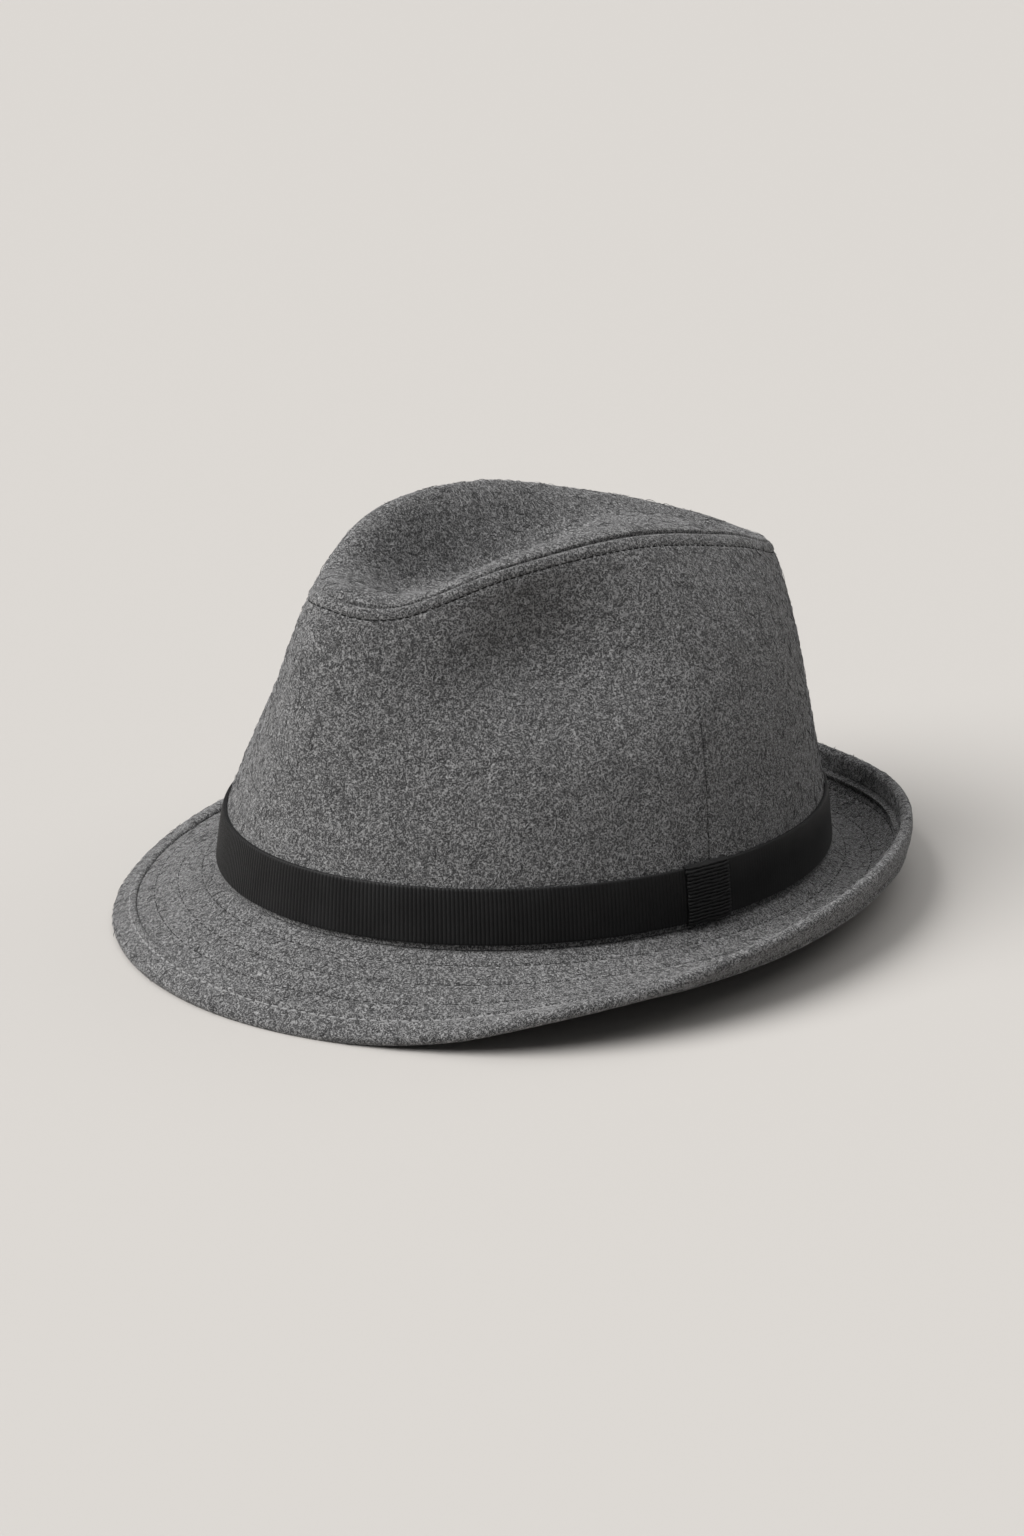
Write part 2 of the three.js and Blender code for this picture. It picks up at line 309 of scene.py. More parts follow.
def tipPoint(angle, v):
    # the top panel's upper face, v from 0 at the seam to 1 at the middle
    angle, v = np.broadcast_arrays(np.asarray(angle, float), np.asarray(v, float))
    seam = seamPoint(angle)
    inward = v * seamReach(angle)
    x = seam[..., 0] * (1 - v)
    y = topSeam["shift"] + (seam[..., 1] - topSeam["shift"]) * (1 - v)
    quarter = np.pi / 2 * np.minimum(1, inward / tip["crestWidth"])
    crest = seam[..., 2] + tip["crestRise"] * np.sin(quarter)
    sunk = ease((inward - tip["crestWidth"] * 0.6) / tip["slopeWidth"])
    sunk = np.maximum(sunk, ease(v) ** 4)
    place = (y - topSeam["shift"]) / (topSeam["length"] / 2)
    floor = crown["height"] * follow(tip["dent"], "floor", place)
    return pack3(x, y, crest * (1 - sunk) + floor * sunk)


def brimWidth(angle):
    return brim["width"] * follow(brim["sections"], "width", angle)


def brimPoint(angle, s, d):
    # s along the brim's upper face from the crown, d down into the felt
    angle, s, d = np.broadcast_arrays(*(np.asarray(v, float) for v in (angle, s, d)))
    inner = np.radians(follow(brim["sections"], "inner", angle))
    outer = np.radians(follow(brim["sections"], "outer", angle))
    turn = follow(brim["sections"], "turn", angle)
    width = brimWidth(angle)
    ahead = np.maximum(s, 0)
    steps = 20
    out = np.minimum(s, 0)
    z = np.full_like(s, -brim["drop"])
    for i in range(steps):
        here = inner + (outer - inner) * (ahead * (i + 0.5) / steps / width) ** turn
        out = out + np.cos(here) * ahead / steps
        z = z + np.sin(here) * ahead / steps
    tilt = np.where(s > 0, inner + (outer - inner) * (ahead / width) ** turn, 0)
    point = headPoint(angle) + headOut(angle) * (out + np.sin(tilt) * d)[..., None]
    point[..., 2] += z - np.cos(tilt) * d
    return point


def gridNormals(points):
    # columns go round, rows go up the wall or in over the top panel
    around = np.roll(points, -1, 0) - np.roll(points, 1, 0)
    rise = np.gradient(points, axis=1)
    normal = np.cross(around, rise)
    return normal / (np.linalg.norm(normal, axis=-1, keepdims=True) + 1e-12)


lowestHead = headPoint(np.array([180.0]))[0, 2]
sideLow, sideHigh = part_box("crown_side")
headMiddle = np.array([
    (sideLow.x + sideHigh.x) / 2,
    (sideLow.y + sideHigh.y) / 2,
    sideLow.z - lowestHead * mm,
])


def toMetres(points):
    # places the hat as the CAD has it, and presses the felt flat where it would pass below the floor
    placed = np.asarray(points, float) * mm + headMiddle
    placed[..., 2] = np.maximum(placed[..., 2], 0)
    return placed


def unevenness(points, scale, seed):
    flat = np.asarray(points, float).reshape(-1, 3) * scale + seed
    values = np.array([noise.noise(Vector(p)) for p in flat])
    return values.reshape(np.shape(points)[:-1])


sharpAngle = 50  # edges bent by more than this, in degrees, are drawn sharp


def newPiece(name, points, faces, material):
    mesh = bpy.data.meshes.new(name)
    mesh.from_pydata([tuple(p) for p in points], [], [tuple(f) for f in faces])
    mesh.validate()
    mesh.shade_smooth()
    mesh.set_sharp_from_angle(angle=math.radians(sharpAngle))
    mesh.materials.append(material)
    piece = bpy.data.objects.new(name, mesh)
    bpy.context.scene.collection.objects.link(piece)
    return piece


def signedVolume(points, faces):
    a, b, c, d = (points[faces[:, k]] for k in range(4))
    first = np.einsum("ij,ij->i", a, np.cross(b, c)).sum()
    return first + np.einsum("ij,ij->i", a, np.cross(c, d)).sum()


def ringFaces(columns, rows):
    # quads of a closed tube of closed sections
    k, i = np.meshgrid(np.arange(columns), np.arange(rows), indexing="ij")
    ahead = (k + 1) % columns
    above = (i + 1) % rows
    quads = [k * rows + i, ahead * rows + i, ahead * rows + above, k * rows + above]
    return np.stack(quads, -1).reshape(-1, 4)


def ringShell(name, outer, inner, material):
    # outer and inner are grids of columns by rows, joined at both ends of their rows
    loops = np.concatenate([outer, inner[:, ::-1]], 1)
    columns, rows = loops.shape[:2]
    points = toMetres(loops).reshape(-1, 3)
    faces = ringFaces(columns, rows)
    if signedVolume(points, faces) < 0:
        faces = faces[:, ::-1]
    return newPiece(name, points, faces, material)


def setFuzz(piece, values):
    layer = piece.data.attributes.new("fuzz", "FLOAT", "POINT")
    layer.data.foreach_set("value", np.asarray(values, float).ravel())


class Wire:
    # a shader socket that sums and products can be written with
    def __init__(self, finish, socket):
        self.finish = finish
        self.socket = socket

    def combine(self, operation, first, second):
        node = self.finish.add("ShaderNodeMath", {"operation": operation}, {0: first, 1: second})
        return Wire(self.finish, node.outputs[0])

    def __add__(self, other):
        return self.combine("ADD", self, other)

    def __radd__(self, other):
        return self.combine("ADD", other, self)

    def __sub__(self, other):
        return self.combine("SUBTRACT", self, other)

    def __rsub__(self, other):
        return self.combine("SUBTRACT", other, self)

    def __mul__(self, other):
        return self.combine("MULTIPLY", self, other)

    def __rmul__(self, other):
        return self.combine("MULTIPLY", other, self)

    def __truediv__(self, other):
        return self.combine("DIVIDE", self, other)

    def atLeast(self, other):
        return self.combine("MAXIMUM", self, other)

    def size(self):
        return self.combine("ABSOLUTE", self, 0)


class Finish:
    # a material whose nodes are added one by one
    def __init__(self, name, **sockets):
        self.material = bpy.data.materials.new(name)
        self.material.use_nodes = True
        self.tree = self.material.node_tree
        self.tree.nodes.clear()
        self.shader = self.add("ShaderNodeBsdfPrincipled", {}, sockets)
        output = self.add("ShaderNodeOutputMaterial", {}, {})
        self.tree.links.new(self.shader.outputs[0], output.inputs["Surface"])

    def feed(self, socket, value):
        if isinstance(value, Wire):
            self.tree.links.new(value.socket, socket)
        else:
            socket.default_value = value

    def add(self, kind, settings, sockets):
        node = self.tree.nodes.new(kind)
        for key, value in settings.items():
            setattr(node, key, value)
        for key, value in sockets.items():
            name = key.replace("_", " ") if isinstance(key, str) else key
            self.feed(node.inputs[name], value)
        return node

    def wire(self, kind, settings, sockets, output=0):
        return Wire(self, self.add(kind, settings, sockets).outputs[output])

    def set(self, **sockets):
        for key, value in sockets.items():
            self.feed(self.shader.inputs[key.replace("_", " ")], value)

    def millimetres(self):
        where = self.wire("ShaderNodeTexCoord", {}, {}, "Object")
        return self.wire("ShaderNodeVectorMath", {"operation": "SCALE"}, {0: where, "Scale": 1000})

    def moved(self, where, offset):
        return self.wire("ShaderNodeVectorMath", {"operation": "ADD"}, {0: where, 1: offset})

    def cloud(self, where, scale, detail=1.0, distortion=0.0):
        sockets = {"Vector": where, "Scale": scale, "Detail": detail, "Distortion": distortion}
        return self.wire("ShaderNodeTexNoise", {}, sockets, 0)

    def between(self, low, high, value):
        settings = {"interpolation_type": "SMOOTHSTEP"}
        sockets = {"Value": value, "From Min": low, "From Max": high}
        return self.wire("ShaderNodeMapRange", settings, sockets)

    def mixed(self, share, first, second):
        # input sockets 6 and 7 are the colours of a Mix node
        sockets = {0: share, 6: first, 7: second}
        return self.wire("ShaderNodeMix", {"data_type": "RGBA"}, sockets, 2)

    def bump(self, height, distance):
        sockets = {"Height": height, "Distance": distance, "Strength": 1.0}
        return self.wire("ShaderNodeBump", {}, sockets)


felt = {
    "dark": (0.032, 0.032, 0.0335, 1),
    "ground": (0.088, 0.088, 0.0895, 1),
    "light": (0.38, 0.38, 0.384, 1),
    "roughness": 0.95,
    "sheen": 0.18,
    "specular": 0.18,
    "relief": 0.0003,
    "grainScale": 3.4,
    "mottleScale": 0.28,
    "patchScale": 0.035,
    "lineStrength": 0.9,
    # plain level, then how much the mottle and the broad patches add to it
    "level": (0.795, 0.12, 0.2),
    # scale per millimetre, line width, share of the surface that shows the lines
    "lightLines": [(0.75, 0.055, 0.46), (1.1, 0.08, 0.48), (1.5, 0.1, 0.5)],
    "darkLines": [(0.9, 0.06, 0.47), (1.4, 0.09, 0.49)],
}


def curlyLines(finish, where, lines, start):
    # level lines of a noise are curls, and a second noise breaks them into short lengths
    total = None
    for k, (scale, wide, share) in enumerate(lines):
        offset = (37.0 * (k + start), 11.0 * (k + start), 5.0 * (k + start))
        place = finish.moved(where, offset)
        level = finish.cloud(place, scale, 0.8, 0.35)
        line = (1 - (level - 0.5).size() / wide).atLeast(0)
        broken = finish.between(share, share + 0.06, finish.cloud(place, scale * 1.3, 0.0))
        drawn = line * broken
        total = drawn if total is None else total.atLeast(drawn)
    return total


def feltFinish(name):
    finish = Finish(name, Roughness=felt["roughness"], Sheen_Weight=felt["sheen"], Sheen_Roughness=0.5)
    finish.set(Specular_IOR_Level=felt["specular"])
    where = finish.millimetres()
    light = curlyLines(finish, where, felt["lightLines"], 1)
    dark = curlyLines(finish, where, felt["darkLines"], 7)
    grain = finish.cloud(where, felt["grainScale"], 2.0)
    mottle = finish.cloud(where, felt["mottleScale"], 3.0)
    patch = finish.cloud(where, felt["patchScale"], 2.0)
    ground = finish.mixed(finish.between(0.34, 0.66, grain), felt["dark"], felt["ground"])
    ground = finish.mixed(dark * felt["lineStrength"], ground, felt["dark"])
    ground = finish.mixed(light * felt["lineStrength"], ground, felt["light"])
    plain, mottled, patched = felt["level"]
    level = plain + mottled * mottle + patched * patch
    shaded = finish.wire("ShaderNodeVectorMath", {"operation": "SCALE"}, {0: ground, "Scale": level})
    finish.set(Base_Color=shaded)
    height = 0.45 * grain + 0.55 * light - 0.35 * dark + 0.5 * mottle
    finish.set(Normal=finish.bump(height, felt["relief"]))
    return finish.material


ribbonFinish = {
    "black": (0.003, 0.003, 0.0033, 1),
    "grey": (0.013, 0.013, 0.0135, 1),
    "sheen": 0.05,
    "specular": 0.22,
}


def ribbonMaterial(name):
    finish = Finish(name, Sheen_Weight=ribbonFinish["sheen"], Sheen_Roughness=0.4)
    finish.set(Specular_IOR_Level=ribbonFinish["specular"])
    where = finish.millimetres()
    weave = finish.cloud(where, 3.2, 2.0)
    patch = finish.cloud(where, 0.09, 1.0)
    share = finish.between(0.35, 0.75, weave) * 0.55 + finish.between(0.3, 0.7, patch) * 0.3
    finish.set(Base_Color=finish.mixed(share, ribbonFinish["black"], ribbonFinish["grey"]))
    finish.set(Roughness=0.44 + 0.2 * weave)
    finish.set(Normal=finish.bump(weave, 0.00006))
    return finish.material


def threadFinish(name, colour):
    finish = Finish(name, Base_Color=colour, Roughness=0.8, Sheen_Weight=0.05)
    finish.set(Specular_IOR_Level=0.2)
    return finish.material


feltCloth = feltFinish("felt_cloth")
grosgrain = ribbonMaterial("grosgrain")
# near-black thread: partly the thread's own dark colour, partly painted shade of the sunk stitch holes
# along the top seam
darkThreadAndHoleShade = threadFinish("dark_thread_and_hole_shade", (0.0065, 0.0065, 0.007, 1))
brimThread = threadFinish("brim_thread", (0.016, 0.016, 0.0165, 1))
greyThread = threadFinish("grey_thread", (0.26, 0.26, 0.263, 1))
print("finishes made")


# crown side

sideDistances = [0, 0.1, 0.25, 0.45, 0.7, 1.0, 1.4, 1.9, 2.5, 3.0, 3.25, 3.45, 3.6, 3.75, 3.95, 4.2]
sideDistances += [4.7, 5.5, 6.5, 7.8]


def sideColumns():
    plain = np.arange(-180, 180, crown["columnStep"])
    seam = np.array([0.08, 0.18, 0.3, 0.45, 0.65, 1.0])
    extra = uprightSeam["at"] + np.concatenate([-seam[::-1], [0], seam])
    far = plain[np.abs(plain - uprightSeam["at"]) > 1.2]
    return np.sort(np.concatenate([far, extra]))


def seamDrift(angle, t):
    return angle + uprightSeam["drift"] * t * bump(angle - uprightSeam["at"], uprightSeam["reach"])


def seamRelief(distance):
    rise = topSeam["bulge"] * np.sin(np.pi * np.clip((distance - 0.35) / 3.1, 0, 1))
    groove = topSeam["grooveDeep"] * bump(distance, topSeam["grooveWide"])
    ditch = topSeam["stitchDeep"] * bump(distance - topSeam["stitchLine"], topSeam["stitchWide"])
    return rise, groove, ditch


def feltUnevenness(points, amount=1.0):
    broad = 0.3 * unevenness(points, 1 / 27, 3.1)
    fine = 0.16 * unevenness(points, 1 / 4.5, 7.7)
    return amount * (broad + fine)


def buildSide():
    u = sideColumns()
    samples = wallPoint(u[:, None], np.linspace(0, 1, 25)[None])
    length = np.linalg.norm(np.diff(samples, axis=1), axis=-1).sum(1)
    near = np.array(sideDistances[::-1])
    top = 1 - (near[None] + topSeam["gap"]) / length[:, None]
    low = np.linspace(0, 1, crown["rows"], endpoint=False)[None] * top[:, :1]
    t = np.concatenate([low, top], 1)
    angle = seamDrift(u[:, None], t)
    points = wallPoint(angle, t)
    normal = gridNormals(points)
    distance = (1 - t) * length[:, None] - topSeam["gap"]
    rise, groove, ditch = seamRelief(distance)
    height = points[..., 2] - headPoint(angle)[..., 2]
    soft = ease((height - 17) / 6) * ease((distance - 2) / 6)
    across = (u[:, None] - uprightSeam["at"]) * uprightSeam["perDegree"]
    shown = 1 - uprightSeam["fade"] * ease((t - 0.4) / 0.3)
    line = uprightSeam["deep"] * bump(across, uprightSeam["wide"]) * shown
    lips = uprightSeam["ridge"] * bump(np.abs(across) - 1.3, 0.9) * shown
    relief = rise - groove - ditch - line + lips + feltUnevenness(points) * soft
    outer = points + normal * relief[..., None]
    innerT = np.linspace(0, 1, crown["innerRows"])[None] * (1 - topSeam["gap"] / length[:, None])
    innerPoints = wallPoint(seamDrift(u[:, None], innerT), innerT)
    innerNormal = gridNormals(innerPoints)
    inner = innerPoints - innerNormal * crown["wall"]
    side = ringShell("crown_side_felt", outer, inner, feltCloth)
    fuzz = np.zeros((len(u), outer.shape[1] + inner.shape[1]))
    fuzz[:, :outer.shape[1]] = ease((height - 17.5) / 1.5) * ease((distance - 0.9) / 0.9)
    fuzz[:, :outer.shape[1]] *= 1 - 0.9 * bump(distance - topSeam["stitchLine"], 0.7)
    setFuzz(side, fuzz)
    row = t.shape[1] - 1 - sideDistances.index(topSeam["stitchLine"])
    return side, (outer[:, row], normal[:, row])


crownSide, topStitchPath = buildSide()
print("crown side made")


# top panel

tipDistances = [0, 0.1, 0.25, 0.45, 0.7, 1.0, 1.4, 1.9, 2.5, 3.2, 4, 5, 6, 7.2, 8.6, 10.2, 12]


def buildTip():
    u = np.arange(-180, 180, crown["columnStep"])
    reach = seamReach(u)
    near = (np.array(tipDistances)[None] + topSeam["gap"]) / reach[:, None]
    shares = np.linspace(0, 1, tip["rows"])[1:-1]
    v = np.concatenate([near, near[:, -1:] + (1 - near[:, -1:]) * shares[None]], 1)
    points = tipPoint(u[:, None], v)
    normal = gridNormals(points)
    distance = v * reach[:, None] - topSeam["gap"]
    rise, groove, ditch = seamRelief(distance)
    relief = 0.35 * rise - groove + feltUnevenness(points) * ease((distance - 1.5) / 5)
    outer = points + normal * relief[..., None]
    innerV = np.linspace(0, 1, tip["innerRows"] + 1)[None, :-1]
    innerV = near[:, :1] + (1 - near[:, :1]) * innerV
    innerPoints = tipPoint(u[:, None], innerV)
    inner = innerPoints - gridNormals(innerPoints) * crown["wall"]
    middle = tipPoint(0, 1)
    lower = middle - [0, 0, crown["wall"]]
    columns, outerRows = outer.shape[:2]
    innerRows = inner.shape[1]
    rows = outerRows + innerRows
    grid = np.concatenate([outer[:, ::-1], inner], 1)
    points = np.concatenate([grid.reshape(-1, 3), [middle, lower]])
    faces = ringFaces(columns, rows).reshape(columns, rows, 4)[:, :-1].reshape(-1, 4).tolist()
    k = np.arange(columns)
    ahead = (k + 1) % columns
    for here, there in zip(k * rows, ahead * rows):
        faces.append((there, here, columns * rows))
        faces.append((here + rows - 1, there + rows - 1, columns * rows + 1))
    if signedVolume(toMetres(points), np.array(faces[: columns * (rows - 1)])) < 0:
        faces = [face[::-1] for face in faces]
    panel = newPiece("crown_tip_felt", toMetres(points), faces, feltCloth)
    fuzz = np.zeros((columns, rows))
    fuzz[:, :outerRows] = ease((distance - 0.9) / 0.9)[:, ::-1]
    setFuzz(panel, np.concatenate([fuzz.ravel(), [1, 0]]))
    return panel


crownTip = buildTip()
print("top panel made")


# brim

brimDistances = [-brim["flange"], -0.5, 0.6, 2, 3.6, 4.8, 5.4, 5.75, 6, 6.25, 6.6, 7.4, 9]
brimDistances += [11, 12.6, 13.4, 13.75]
brimDistances += [14, 14.25, 14.6, 15.4, 17, 19, 20.6, 21.4, 21.75, 22, 22.25, 22.6, 23.2]


def buildBrim():
    u = np.arange(brim["columns"]) * 360 / brim["columns"] - 180
    width = brimWidth(u)[:, None]
    step = width - binding["cover"] - 0.3
    edge = width - brim["wall"] / 2 - 0.9
    near = np.repeat(np.array(brimDistances, float)[None], len(u), 0)
    far = near[:, -1:] + (step - near[:, -1:]) * np.array([[0.35, 0.7, 1]])
    thin = step + (edge - step) * np.array([[0.02, 0.5, 1]])
    s = np.concatenate([near, far, thin], 1)
    pressed = np.concatenate([0 * near, 0 * far, 0 * thin + brim["pressed"]], 1)
    sewn = sum(bump(s - row, brim["stitchWide"]) for row in brim["stitchRows"]) * brim["stitchDeep"]
    flat = brimPoint(u[:, None], s, 0)
    uneven = feltUnevenness(flat, 0.7) * ease(s / 4) * (pressed == 0)
    top = brimPoint(u[:, None], s, pressed + sewn - uneven)
    bottom = brimPoint(u[:, None], s, brim["wall"] - pressed - sewn - uneven)
    cloth = ringShell("brim_felt", top, bottom, feltCloth)
    fuzz = np.zeros((len(u), 2 * s.shape[1]))
    fuzz[:, :s.shape[1]] = ease(s / 2) * (pressed == 0)
    for row in brim["stitchRows"]:
        fuzz[:, :s.shape[1]] *= 1 - 0.6 * bump(s - row, 0.6)
    setFuzz(cloth, fuzz)
    paths = []
    for row in brim["stitchRows"]:
        index = brimDistances.index(row)
        up = flat[:, index] - brimPoint(u, s[:, index], 1.0)
        paths.append((top[:, index], up))
        paths.append((bottom[:, index], -up))
    return cloth, paths


brimCloth, brimStitchPaths = buildBrim()
print("brim made")


# binding: the cloth folded round the brim's edge, in from the edge and down from the brim's face

bindingTop = [(9.2, 0.02), (9.22, -0.3), (9.1, -0.62), (8.8, -0.88), (8.4, -0.98), (8.0, -0.92)]
bindingTop += [(7.65, -0.72), (7.3, -0.34), (7.0, -0.2), (6.7, -0.34), (6.3, -0.7), (5.7, -0.85)]
bindingTop += [(4.7, -0.92), (3.3, -0.92)]


def ridgeShare(angle):
    # the ridge is low in front and full at the sides and back
    return 0.3 + 0.7 * ease((np.abs(angle) - 45) / 40)


def buildBinding():
    u = np.arange(brim["columns"]) * 360 / brim["columns"] - 180
    width = brimWidth(u)[:, None]
    middle = brim["wall"] / 2
    half = binding["half"]
    x = np.array([place[0] for place in bindingTop])
    d = np.array([place[1] for place in bindingTop])
    raised = ridgeShare(u)[:, None]
    ridge = binding["ridge"] * bump(x - binding["ridgeAt"], binding["ridgeWide"])[None] * raised
    ditch = bump(x - binding["ditchAt"], binding["ditchWide"])[None]
    filled = binding["ditchFill"] * ditch * (1 - raised)
    top = d[None] - ridge - filled
    turns = np.pi * np.arange(1, 13) / 13
    roundX = half - half * np.sin(turns)
    roundD = middle - half * np.cos(turns)
    x = np.concatenate([x, roundX, x[::-1]])
    d = np.concatenate([top, np.repeat(roundD[None], len(u), 0), 2 * middle - top[:, ::-1]], 1)
    s = width - x[None]
    flat = brimPoint(u[:, None], s, d)
    uneven = feltUnevenness(flat, 0.6)
    toMiddle = np.sign(d - middle) * uneven * np.minimum(1, np.abs(d - middle))
    outer = brimPoint(u[:, None], s, d + toMiddle)
    small = half - binding["wall"]
    # the inner face, straight under the strip and round inside the fold
    straight = [binding["cover"] - 0.1, 5]
    innerX = np.concatenate([straight, half - small * np.sin(turns[::3]), straight[::-1]])
    innerD = np.concatenate([
        [middle - small] * 2,
        middle - small * np.cos(turns[::3]),
        [middle + small] * 2,
    ])
    inner = brimPoint(u[:, None], width - innerX[None], innerD[None])
    strip = ringShell("brim_binding_felt", outer, inner, feltCloth)
    fuzz = np.zeros((len(u), outer.shape[1] + inner.shape[1]))
    fuzz[:, 1:len(bindingTop) + 9] = 1  # the upper face and most of the fold
    lift = toMetres(outer)[..., 2] / mm
    fuzz[:, :outer.shape[1]] *= ease((lift - 1.2) / 1.2) * (1 - 0.9 * bump(x - binding["ditchAt"], 0.9))
    setFuzz(strip, fuzz)
    index = [place[0] for place in bindingTop].index(binding["ditchAt"])
    up = brimPoint(u, s[:, index], 0.0) - brimPoint(u, s[:, index], 1.0)
    return strip, [(outer[:, index], up), (outer[:, -1 - index], -up)]


brimBinding, bindingStitchPaths = buildBinding()
print("binding made")


# ribbon

def ribbonArc():
    angle = np.linspace(-180, 180, 2881)
    points = headPoint(angle)
    points = points + headOut(angle) * ribbon["clear"]
    arc = np.concatenate([[0], np.cumsum(np.linalg.norm(np.diff(points, axis=0), axis=1))])
    return angle, arc


def wallOffset(angle, z, out):
    # angle down the columns, z above the head line and out from the wall along the rows
    tall = seamPoint(angle)[..., 2] - headPoint(angle)[..., 2]
    share = z / tall[:, None]
    points = wallPoint(angle[:, None], share)
    around = wallPoint(angle[:, None] + 0.5, share) - wallPoint(angle[:, None] - 0.5, share)
    rise = np.gradient(points, axis=1)
    normal = np.cross(around, rise)
    normal = normal / np.linalg.norm(normal, axis=-1, keepdims=True)
    return points + normal * np.broadcast_to(out, points.shape[:2])[..., None]


def buildRibbon():
    count = ribbon["ribs"] * ribbon["ribColumns"]
    angleTable, arcTable = ribbonArc()
    share = np.arange(count) / count
    angle = np.interp(share * arcTable[-1], arcTable, angleTable)
    half = [0, 0.1, 0.35, 0.9, 2.5, 5, ribbon["height"] / 2]
    z = np.array(half + [ribbon["height"] - v for v in half[-2::-1]])
    edge = np.minimum(z, ribbon["height"] - z)
    rounding = -0.4 * np.exp(-edge / 0.12)
    quiet = 0.45 + 0.55 * ease((edge - 0.3) / 0.6)
    behind = 1 - ribbon["calm"] * ease((angle - ribbon["calmAt"]) / 3)
    rib = np.abs(np.sin(np.pi * ribbon["ribs"] * share)) ** 0.8 - 0.6
    relief = ribbon["relief"] * rib[:, None] * quiet[None] * behind[:, None]
    face = ribbon["clear"] + ribbon["wall"] + rounding[None] + relief
    rows = np.repeat(ribbon["foot"] + z[None], count, 0)
    outer = wallOffset(angle, rows, face)
    innerRows = np.repeat(ribbon["foot"] + np.array([[0.0, 8.0, ribbon["height"]]]), count, 0)
    inner = wallOffset(angle, innerRows, ribbon["clear"])
    return ringShell("hat_band_ribbon", outer, inner, grosgrain)


hatBand = buildRibbon()
print("ribbon made")


def buildLoop():
    rng = np.random.default_rng(5)
    columns = ribbonLoop["columns"]
    half = math.degrees(ribbonLoop["width"] / (headLine["length"] / 2)) / 2
    across = np.linspace(-1, 1, columns)
    count = ribbonLoop["ribs"] * ribbonLoop["ribRows"] + 1
    low = ribbon["foot"] - ribbonLoop["margin"]
    high = ribbon["foot"] + ribbon["height"] + ribbonLoop["margin"]
    faceOut = 2 * ribbon["clear"] + ribbon["wall"] + ribbonLoop["wall"]
    share = np.linspace(0, 1, count)
    z = low + 0.35 + (high - low - 0.7) * share
    ribs = np.abs(np.sin(np.pi * ribbonLoop["ribs"] * share)) ** 0.7 - 0.5
    corner = ribbonLoop["endFall"] * (np.exp(-share * 26) + np.exp(-(1 - share) * 26))
    waver = rng.normal(0, ribbonLoop["edgeWaver"], (2, ribbonLoop["ribs"] + 1))
    waver = waver.repeat(ribbonLoop["ribRows"], 1)[:, :count]
    outerZ = np.concatenate([[low + 0.15, low], z, [high, high - 0.15]])
    outerOut = np.concatenate([[0.3, 1.2], faceOut + ribbonLoop["relief"] * ribs - corner, [1.2, 0.3]])
    innerZ = np.linspace(low + 0.6, high - 0.6, len(outerZ))
    innerOut = np.full(len(outerZ), faceOut - ribbonLoop["wall"])
    innerOut[:2] = 0.3
    innerOut[-2:] = 0.3
    innerZ[:2] = low + 0.6
    innerZ[-2:] = high - 0.6
    edges = np.pad(waver, ((0, 0), (2, 2)), mode="edge")
    degreesPerMm = 2 * half / ribbonLoop["width"]
    shift = np.where(across[:, None] < 0, edges[0][None], edges[1][None])
    shift = shift * ease((np.abs(across)[:, None] - 0.8) / 0.2) * degreesPerMm
    angle = ribbonLoop["at"] + across * half
    sideFall = ribbonLoop["sideFall"] * np.exp(-(1 - np.abs(across)) / 0.04)
    waves = rng.normal(0, 1, (3, ribbonLoop["ribs"] + 1))
    waves = np.pad(waves.repeat(ribbonLoop["ribRows"], 1)[:, :count], ((0, 0), (2, 2)))
    calm = np.minimum(1, np.minimum(np.arange(len(outerZ)), np.arange(len(outerZ))[::-1]) / 9)
    outerRows = []
    for i in range(len(outerZ)):
        sway = waves[0, i] * np.sin(5 * across + waves[1, i])
        sway = sway + 0.5 * np.sin(17 * across + 3 * waves[2, i])
        z = outerZ[i] + ribbonLoop["waver"] * calm[i] * sway
        out = np.maximum(0.3, outerOut[i] - sideFall)[:, None]
        outerRows.append(wallOffset(angle + shift[:, i], np.stack([z, z + 0.1], 1), out)[:, 0])
    outer = np.stack(outerRows, 1)
    inner = np.stack([
        wallOffset(angle + shift[:, i] * 0.9, np.full((columns, 2), [innerZ[i], innerZ[i] + 0.1]),
                   innerOut[i])[:, 0]
        for i in range(len(innerZ))
    ], 1)
    n = outer.shape[1]
    loops = np.concatenate([outer, inner[:, ::-1]], 1)
    rows = 2 * n
    faces = ringFaces(columns, rows).reshape(columns, rows, 4)[:-1].reshape(-1, 4).tolist()
    last = (columns - 1) * rows
    for i in range(n - 1):
        a, b, c, d = i, i + 1, rows - 2 - i, rows - 1 - i
        faces.append((a, b, c, d))
        faces.append((last + d, last + c, last + b, last + a))
    points = toMetres(loops).reshape(-1, 3)
    if signedVolume(points, np.array(faces)) < 0:
        faces = [face[::-1] for face in faces]
    return newPiece("band_loop_ribbon", points, faces, grosgrain)


bandLoop = buildLoop()
print("ribbon loop made")


# stitches and fibres, laid by geometry nodes

